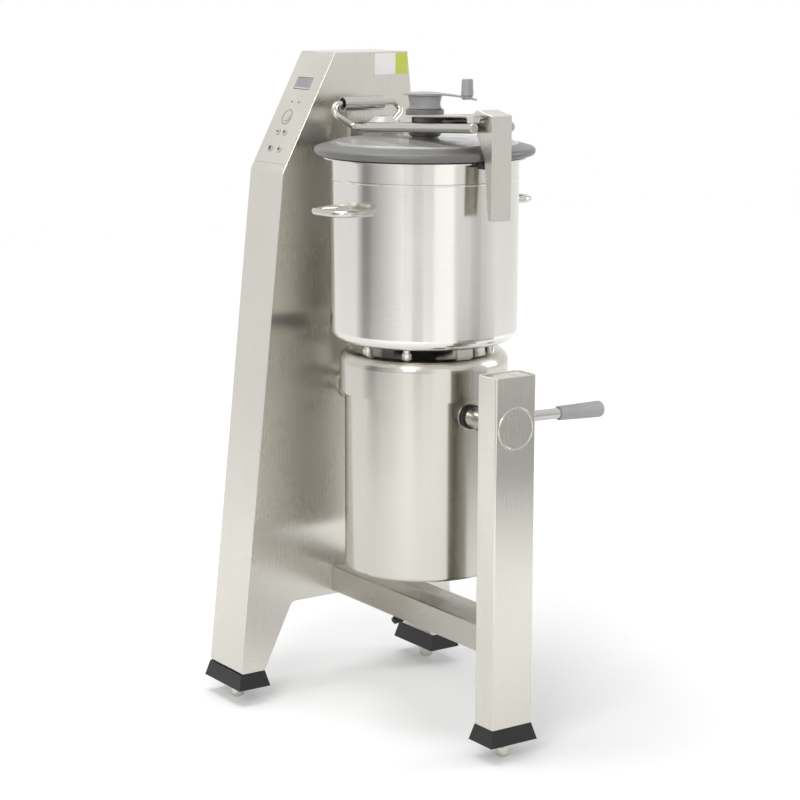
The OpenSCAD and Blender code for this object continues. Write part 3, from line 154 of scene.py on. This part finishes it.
def moulded(name, colour, speckle, roughness, grit, depth, coat=0.0):
    """A moulded plastic or rubber with a fine grit and slight cloudiness."""
    material, tree, shader = new_material(name)
    place = add(tree, "TexCoord").outputs["Object"]
    grain = add(tree, "TexNoise", {
        "Vector": place, "Scale": per_mm(grit), "Detail": 2.0,
    }).outputs["Fac"]
    cloud = add(tree, "TexNoise", {"Vector": place, "Scale": per_mm(FLOW_SIZE), "Detail": 3.0})
    tone = add(tree, "MapRange", {**NOISE_RANGE, "Value": cloud.outputs["Fac"]})
    tint = add(tree, "Mix", {
        "Factor": tone.outputs["Result"], "A": linear(speckle), "B": linear(colour),
    }, data_type="RGBA")
    gloss = add(tree, "MapRange", {
        **NOISE_RANGE, "Value": grain,
        "To Min": roughness - GRIT_GLOSS, "To Max": roughness + GRIT_GLOSS,
    })
    bump = add(tree, "Bump", {
        "Height": grain, "Strength": GRIT_BUMP, "Distance": depth * MM,
    })
    wire(tree, shader, {
        "Base Color": tint.outputs["Result"],
        "Roughness": gloss.outputs["Result"],
        "Normal": bump.outputs["Normal"],
        "Coat Weight": coat,
        "Coat Roughness": COAT_ROUGHNESS,
    })
    return material


HAZE_SIZE = 30
HAZE_GLOSS = 0.1
POLYCARBONATE_IOR = 1.58


def clear_polycarbonate(name, colour, roughness, clearness):
    """Moulded polycarbonate that lets some light through, a little milky from washing."""
    material, tree, shader = new_material(name)
    place = add(tree, "TexCoord").outputs["Object"]
    haze = add(tree, "TexNoise", {"Vector": place, "Scale": per_mm(HAZE_SIZE), "Detail": 4.0})
    gloss = add(tree, "MapRange", {
        **NOISE_RANGE, "Value": haze.outputs["Fac"],
        "To Min": roughness, "To Max": roughness + HAZE_GLOSS,
    })
    wire(tree, shader, {
        "Roughness": gloss.outputs["Result"],
        "Base Color": linear(colour),
        "Transmission Weight": clearness,
        "IOR": POLYCARBONATE_IOR,
    })
    return material


bowl_low, bowl_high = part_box("bowl")
BOWL_X = (bowl_low[0] + bowl_high[0]) / 2

# Satin stainless sheet, belt brushed up and down: soft upright streaks
satin_upright = brushed(
    "satin_stainless_upright", "#D5D2CA", "#D0CDC5", 0.27, 0.015, UPRIGHT, 0.0006,
)
# The same sheet on the beam, brushed along it: level streaks; its darker grey colour is painted
# shade, for the machine's shadow that the beam lies in
satin_beam_painted_shade = brushed("satin_stainless_beam_painted_shade", "#B0ADA5", "#A9A69E", 0.28, 0.015, 0, 0.001)
# Spun stainless, polished on a lathe: sharp upright reflections, blurred along the height
spun = brushed("spun_stainless", "#D8D6D0", "#D4D2CC", 0.16, 0.015, None, 0.001)
# The same on the motor's drum, a little rougher; its darker colour is painted shade, for the darker
# surroundings that the drum's lower half mirrors
spun_drum_painted_shade = brushed("spun_stainless_drum_painted_shade", "#C3C0B8", "#BEBBB3", 0.2, 0.02, None, 0.001)
# Polished tube and bar: bright narrow highlights
polished_bar = brushed("polished_stainless_bar", "#C4C2BC", "#BDBBB5", 0.2, 0.02, 0, 0.002)
# Ground blade steel: cooler than the sheet, with fine grinding marks
ground_steel = brushed("ground_blade_steel", "#C9CACA", "#B4B6B8", 0.22, 0.04, 0, 0.01)
# Machined cast iron of the motor: dark and dull, with visible tool marks
machined_iron = brushed("machined_cast_iron", "#6A6C6E", "#55585A", 0.5, 0.08, UPRIGHT, 0.05)
# Moulded grey nylon of the lid ring: even, faintly grainy
grey_nylon_lid = moulded("grey_nylon_lid", "#6A6968", "#656463", 0.36, 0.5, 0.02)
# The lighter moulded grey nylon of the crank and its knob: the same soft sheen
grey_nylon_crank = moulded("grey_nylon_crank", "#9A9A9B", "#939394", 0.36, 0.5, 0.02)
# Dipped grey vinyl grip: a light, dull skin
grey_grip = moulded("grey_vinyl_grip", "#ABA9AA", "#A4A2A3", 0.4, 0.6, 0.03)
# Moulded black rubber feet and seals: nearly black, hardly any shine
black_rubber = moulded("black_rubber", "#111012", "#0D0C0E", 0.5, 0.7, 0.04)
# Moulded black plastic of the gland and the hinge bushes: dark with a soft sheen
black_plastic = moulded("black_moulded_plastic", "#222224", "#1B1B1D", 0.4, 0.5, 0.03)
# Milky white acetal of the wiper: smooth and slightly waxy
white_acetal = moulded("white_acetal", "#DAD9D2", "#D0CFC8", 0.35, 0.5, 0.02)
# Display glass over the grey ground of an unlit panel: flat grey under a thin shine
display_glass = moulded("display_glass_over_grey", "#8B878C", "#858186", 0.2, 0.4, 0.0, coat=0.4)
# Silver-printed film over the push buttons: matt, in the panel's own tone
key_film = moulded("silver_key_film", "#B9B7AE", "#B4B2A9", 0.5, 0.4, 0.003)
# Screen print on the panel: flat dark grey ink; the same ink draws the painted shadow line round
# the display
print_ink_and_painted_shadow = moulded("screen_print_ink_and_painted_shadow", "#3E3D3A", "#383734", 0.55, 0.4, 0.005)
# Self-adhesive vinyl, blank and half glossy, and its lime band
white_vinyl = moulded("white_label_vinyl", "#F1F1EF", "#ECECEA", 0.35, 0.5, 0.005)
lime_vinyl = moulded("lime_label_vinyl", "#C9D65A", "#C2CF52", 0.35, 0.5, 0.005)
# Moulded green lens of an unlit lamp: deep green under a hard shine
lamp_lens = moulded("green_lamp_lens", "#3E5A4A", "#37503F", 0.15, 0.4, 0.0, coat=1.0)
# Green lacquer on the switch board: shiny and a little uneven
board_lacquer = moulded("green_board_lacquer", "#2E5B3C", "#275034", 0.3, 0.6, 0.01)
# Smoked polycarbonate of the dome: grey, and clear enough to darken what is under it
clear_lid = clear_polycarbonate("smoked_polycarbonate", "#B4B2AF", 0.14, 0.3)
# The hopper's wall is thinner and milkier; its pale colour is also painted highlight, for the
# bright sheen it shows
milky_lid_painted_highlight = clear_polycarbonate("milky_polycarbonate_painted_highlight", "#D9D8D3", 0.16, 0.35)

FINISH = {
    satin_upright: [
        "column_shell", "column_cover", "cover_screws", "control_panel", "post", "post_cap",
        "pivot_cap", "lid_support_post", "clamp_lever", "arm_cover", "levelling_pads",
    ],
    satin_beam_painted_shade: ["cross_beam"],
    spun: ["bowl", "bowl_rim", "support_studs", "blade_hub"],
    spun_drum_painted_shade: ["motor_drum", "drum_cap"],
    polished_bar: [
        "trunnions", "lever_rod", "bowl_handle_front", "bowl_handle_rear", "hinge_sleeve",
        "hinge_rod", "arm_tubes", "clamp_yoke", "clamp_pin", "wiper_shaft", "motor_bearings",
        "motor_rotor", "pivot_bushes",
    ],
    ground_steel: ["blade_lower", "blade_middle", "blade_upper"],
    machined_iron: ["motor_stator", "motor_end_shields"],
    grey_nylon_lid: ["lid_ring", "wiper_housing"],
    grey_nylon_crank: ["crank", "crank_knob"],
    grey_grip: ["lever_grip"],
    black_rubber: ["feet", "trunnion_seal", "shaft_seal", "bowl_gasket", "clamp_pad"],
    black_plastic: ["cable_gland", "hinge_bushes"],
    white_acetal: ["wiper_blade"],
    display_glass: ["display_window"],
    key_film: ["button_pulse", "button_plus", "button_minus", "button_start", "button_stop"],
    lamp_lens: ["indicator_lamps"],
    board_lacquer: ["control_board"],
    clear_lid: ["lid_dome"],
    milky_lid_painted_highlight: ["lid_hopper"],
}
for material, names in FINISH.items():
    for name in names:
        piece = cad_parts[name]
        piece.data.materials.clear()
        piece.data.materials.append(material)


# Sheet metal is folded, not cut sharp: every outer edge has a small round that catches the light
FOLD_ROUND = 1.4
FOLD_STEPS = 3
FOLD_FROM_DEGREES = 50
JOIN_WITHIN = 0.01
FOLDED = ("column_shell", "post", "cross_beam", "clamp_lever", "arm_cover", "post_cap")
for name in FOLDED:
    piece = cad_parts[name]
    joined = piece.modifiers.new("joined_facets", "WELD")
    joined.merge_threshold = JOIN_WITHIN * MM
    fold = piece.modifiers.new("fold_round", "BEVEL")
    fold.width = FOLD_ROUND * MM
    fold.segments = FOLD_STEPS
    fold.limit_method = "ANGLE"
    fold.angle_limit = math.radians(FOLD_FROM_DEGREES)
    fold.use_clamp_overlap = False


# Trim that is printed or stuck on the column, and a painted shadow line round the display, drawn in
# mm and laid on the panel or on the column
PANEL_FOOT = (-264.7, -150.0, 1029.0)
PANEL_LEAN = 27.9
PANEL_FACE = 1.5
PRINT_T = 0.15
# Air under a print, so that no two faces share a plane
PRINT_AIR = 0.02
RIGHT_ANGLE = math.radians(90)
panel_turn = Matrix.Rotation(math.radians(90 - PANEL_LEAN), 4, "X")
on_panel = Matrix.Translation(Vector(PANEL_FOOT) * MM) @ panel_turn @ Matrix.Scale(MM, 4)
face_turn = Matrix.Rotation(RIGHT_ANGLE, 4, "Z") @ Matrix.Rotation(RIGHT_ANGLE, 4, "X")
COLUMN_FACE_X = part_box("column_shell")[1][0]
on_column = Matrix.Translation((COLUMN_FACE_X, 0, 0)) @ face_turn @ Matrix.Scale(MM, 4)


def lay(name, ground, lift, body, material):
    """Turns the flat piece under work, drawn in mm, into its place and gives it its finish."""
    piece = bpy.context.object
    piece.name = name
    piece.matrix_world = ground @ Matrix.Translation((0, 0, lift)) @ piece.matrix_world
    bpy.ops.object.transform_apply(location=True, rotation=True, scale=True)
    piece.data.materials.append(material)
    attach(piece, body)
    bpy.ops.object.select_all(action="DESELECT")


def print_plate(at, size, corners, round_mm, line):
    """A flat shape in mm, a print or a painted shadow line: a rounded plate, or only its outline
    where a line width is given.
    """
    if corners == 4:
        bpy.ops.mesh.primitive_plane_add(size=1, location=(*at, 0))
    else:
        bpy.ops.mesh.primitive_circle_add(
            vertices=corners, radius=0.5, fill_type="NGON", location=(*at, 0),
        )
    bpy.context.object.scale = (*size, 1)
    bpy.ops.object.transform_apply(location=False, rotation=False, scale=True)
    bpy.ops.object.mode_set(mode="EDIT")
    bpy.ops.mesh.select_all(action="SELECT")
    if round_mm:
        bpy.ops.mesh.bevel(offset=round_mm, segments=4, affect="VERTICES")
    if line:
        bpy.ops.mesh.select_all(action="SELECT")
        bpy.ops.mesh.inset(thickness=line, depth=0)
        bpy.ops.mesh.delete(type="FACE")
        bpy.ops.mesh.select_all(action="SELECT")
    bpy.ops.mesh.extrude_region_move(TRANSFORM_OT_translate={"value": (0, 0, PRINT_T)})
    bpy.ops.mesh.select_all(action="SELECT")
    bpy.ops.mesh.normals_make_consistent(inside=False)
    bpy.ops.object.mode_set(mode="OBJECT")


# Label: a blank white sheet with a lime band along its rear edge
LABEL_Z = (1206.5, 1246.5)
LABEL_Y = (58.0, 105.6, 134.0)
LABEL_ROUND = 1.5
for name, y0, y1, lift, finish in (
    ("label_sheet", LABEL_Y[0], LABEL_Y[2], PRINT_AIR, white_vinyl),
    ("label_band", LABEL_Y[1], LABEL_Y[2], PRINT_T + 2 * PRINT_AIR, lime_vinyl),
):
    middle = ((y0 + y1) / 2, sum(LABEL_Z) / 2)
    print_plate(middle, (y1 - y0, LABEL_Z[1] - LABEL_Z[0]), 4, LABEL_ROUND, 0)
    lay(name, on_column, lift, "frame", finish)

# Panel: a dark line round the display, which is painted shadow of the display's recess, and a
# printed line round the pulse key
for name, at, size, corners, round_mm, line in (
    ("display_painted_shadow_line", (0, 182), (53, 25.5), 4, 1, 1.4),
    ("print_pulse_ring", (-6, 111), (31, 31), 32, 0, 1.2),
):
    print_plate(at, size, corners, round_mm, line)
    lay(name, on_panel, PANEL_FACE + PRINT_AIR, "frame", print_ink_and_painted_shadow)

# Plain signs on the small keys: bars for more and less, a pointer for start, a square for stop
KEY_CROWN = 3.15
SIGN_ROUND = 0.4
for name, key, at, size, corners in (
    ("sign_plus_across", "key_plus", (8, 80), (9, 2.2), 4),
    ("sign_plus_upright", "key_plus", (8, 80), (2.2, 9), 4),
    ("sign_minus_across", "key_minus", (-16, 80), (9, 2.2), 4),
    ("sign_start_pointer", "key_start", (14, 45), (10, 10), 3),
    ("sign_stop_square", "key_stop", (-18, 45), (8, 8), 4),
):
    print_plate(at, size, corners, SIGN_ROUND, 0)
    # The second bar of the plus lies on the first
    crown = KEY_CROWN + (PRINT_T + PRINT_AIR if name.endswith("upright") else 0)
    lay(name, on_panel, crown, key, print_ink_and_painted_shadow)


# Floor, lamps and camera, in metres
FLOOR_SIZE = 14
# The floor's own light grows between these distances from the middle, till it shows white
FLOOR_NEAR = 0.5
FLOOR_FAR = 2.4
FLOOR_GLOW = (0.13, 0.52)
WORLD_LIGHT = 0.45
WHITE_SHOWN = 1.0
scene = bpy.context.scene
scene.view_settings.view_transform = "Standard"


def shown_to_eye(tree):
    """A socket that is 1 where the camera, metal or glass looks, and 0 for the light itself."""
    path = add(tree, "LightPath")
    seen = add(tree, "Math", {
        0: path.outputs["Is Camera Ray"], 1: path.outputs["Is Transmission Ray"],
    }, operation="MAXIMUM")
    shown = add(tree, "Math", {
        0: seen.outputs["Value"], 1: path.outputs["Is Glossy Ray"],
    }, operation="MAXIMUM")
    return shown.outputs["Value"]


def pale_ground():
    """Plain pale floor that shows white to the camera, metal and glass, and keeps the shadow."""
    bpy.ops.mesh.primitive_plane_add(size=FLOOR_SIZE, location=(0, 0, 0))
    floor = bpy.context.object
    floor.name = "floor"
    material, tree, shader = new_material("pale_floor")
    place = add(tree, "TexCoord").outputs["Object"]
    reach = add(tree, "VectorMath", {"Vector": place}, operation="LENGTH")
    far = add(tree, "MapRange", {
        "Value": reach.outputs["Value"], "From Min": FLOOR_NEAR, "From Max": FLOOR_FAR,
        "To Min": FLOOR_GLOW[0], "To Max": FLOOR_GLOW[1],
    })
    glow = add(tree, "Math", {
        0: far.outputs["Result"], 1: shown_to_eye(tree),
    }, operation="MULTIPLY")
    wire(tree, shader, {
        "Base Color": linear("#F5F5F6"),
        "Roughness": 0.7,
        "Emission Color": linear("#FFFFFF"),
        "Emission Strength": glow.outputs["Value"],
    })
    floor.data.materials.append(material)


def studio():
    """World light at a plain level, white where the camera, metal or glass sees it."""
    world = bpy.data.worlds.new("studio")
    scene.world = world
    world.use_nodes = True
    tree = world.node_tree
    tree.nodes.clear()
    white = linear("#FFFFFF")
    soft = add(tree, "Background", {"Color": white, "Strength": WORLD_LIGHT})
    shown = add(tree, "Background", {"Color": white, "Strength": WHITE_SHOWN})
    mixed = add(tree, "MixShader", {
        "Fac": shown_to_eye(tree), 1: soft.outputs["Background"], 2: shown.outputs["Background"],
    })
    add(tree, "OutputWorld", {"Surface": mixed.outputs["Shader"]})


def lamp(name, place, target, size, power):
    """A soft square lamp aimed at a point."""
    bpy.ops.object.light_add(type="AREA", location=place)
    light = bpy.context.object
    light.name = name
    light.data.size = size
    light.data.energy = power
    light.rotation_euler = (Vector(target) - Vector(place)).to_track_quat("-Z", "Y").to_euler()


def card(name, reach, bearings, heights, tones):
    """A studio card that only metal and plastic mirror, grey from one tone to another across it."""
    start, end = (math.radians(b) for b in bearings)
    low, high = heights
    middle = (start + end) / 2
    out = Vector((math.cos(middle), math.sin(middle), 0))
    along = Vector((-math.sin(middle), math.cos(middle), 0))
    width = 2 * reach * math.tan((end - start) / 2)
    bpy.ops.mesh.primitive_plane_add(size=1)
    sheet = bpy.context.object
    sheet.name = name
    turn = Matrix((along * width, Vector((0, 0, high - low)), -out)).transposed()
    centre = out * reach + Vector((BOWL_X, 0, (low + high) / 2))
    sheet.matrix_world = Matrix.Translation(centre) @ turn.to_4x4()
    material = bpy.data.materials.new(name)
    material.use_nodes = True
    tree = material.node_tree
    tree.nodes.clear()
    place = add(tree, "SeparateXYZ", {"Vector": add(tree, "TexCoord").outputs["Object"]})
    tone = add(tree, "MapRange", {
        "Value": place.outputs["X"], "From Min": -0.5, "From Max": 0.5,
        "To Min": tones[0], "To Max": tones[1],
    })
    glow = add(tree, "Emission", {"Color": linear("#FFFFFF"), "Strength": tone.outputs["Result"]})
    add(tree, "OutputMaterial", {"Surface": glow.outputs["Emission"]})
    sheet.data.materials.append(material)
    for ray in ("camera", "diffuse", "transmission", "shadow"):
        setattr(sheet, "visible_" + ray, False)


CAMERA_PLACE = (3.3093, -2.3121, 1.4082)
CAMERA_YAW = 55.335
CAMERA_PITCH = 11.167
CAMERA_ROLL = 0.153
CAMERA_LENS = 98.67
CAMERA_SENSOR = 36
CAMERA_CLIP = (0.1, 60)


def camera():
    """The photograph's viewpoint, fitted to the frame's straight edges."""
    data = bpy.data.cameras.new("camera")
    data.lens = CAMERA_LENS
    data.sensor_width = CAMERA_SENSOR
    data.clip_start, data.clip_end = CAMERA_CLIP
    view = bpy.data.objects.new("camera", data)
    scene.collection.objects.link(view)
    turn = Matrix.Rotation(math.radians(CAMERA_YAW), 4, "Z")
    tip = Matrix.Rotation(math.radians(90 - CAMERA_PITCH), 4, "X")
    roll = Matrix.Rotation(math.radians(CAMERA_ROLL), 4, "Z")
    view.matrix_world = Matrix.Translation(CAMERA_PLACE) @ turn @ tip @ roll
    scene.camera = view


pale_ground()
studio()
# Each lamp: where it hangs, where it points, its width in metres and its watts
for name, place, target, size, power in (
    ("key_lamp", (2.2, -3.0, 2.6), (0, 0, 0.7), 1.8, 70),
    ("fill_lamp", (1.3, 3.4, 2.0), (0, 0, 0.7), 1.6, 36),
    ("top_lamp", (-0.4, -0.6, 3.4), (0, 0, 0.6), 1.8, 45),
):
    lamp(name, place, target, size, power)
# Each card: its distance, its edges as degrees round the bowl, its height and its two tones
FAR_CARD = 3.3
NEAR_CARD = 2.0
FULL = (0.0, 2.7)
LOW = (0.0, 0.40)
for name, reach, bearings, heights, tones in (
    ("card_left_edge", FAR_CARD, (-126, -112), FULL, (1.1, 0.32)),
    ("card_left", FAR_CARD, (-112, -101), FULL, (0.30, 0.38)),
    ("card_left_fade", FAR_CARD, (-101, -60), FULL, (0.46, 1.15)),
    ("card_front", FAR_CARD, (-49, -37), FULL, (0.82, 0.86)),
    ("card_bright", FAR_CARD, (-24, 0), FULL, (1.35, 1.45)),
    ("card_right", FAR_CARD, (2, 22), FULL, (1.0, 0.95)),
    ("card_right_dark", FAR_CARD, (22, 36), FULL, (0.8, 0.68)),
    ("card_right_fade", FAR_CARD, (36, 60), FULL, (0.8, 1.05)),
    ("card_low_right", NEAR_CARD, (4, 31), LOW, (0.34, 0.24)),
    ("card_low_fade", NEAR_CARD, (31, 58), LOW, (0.46, 0.7)),
):
    card(name, reach, bearings, heights, tones)
camera()
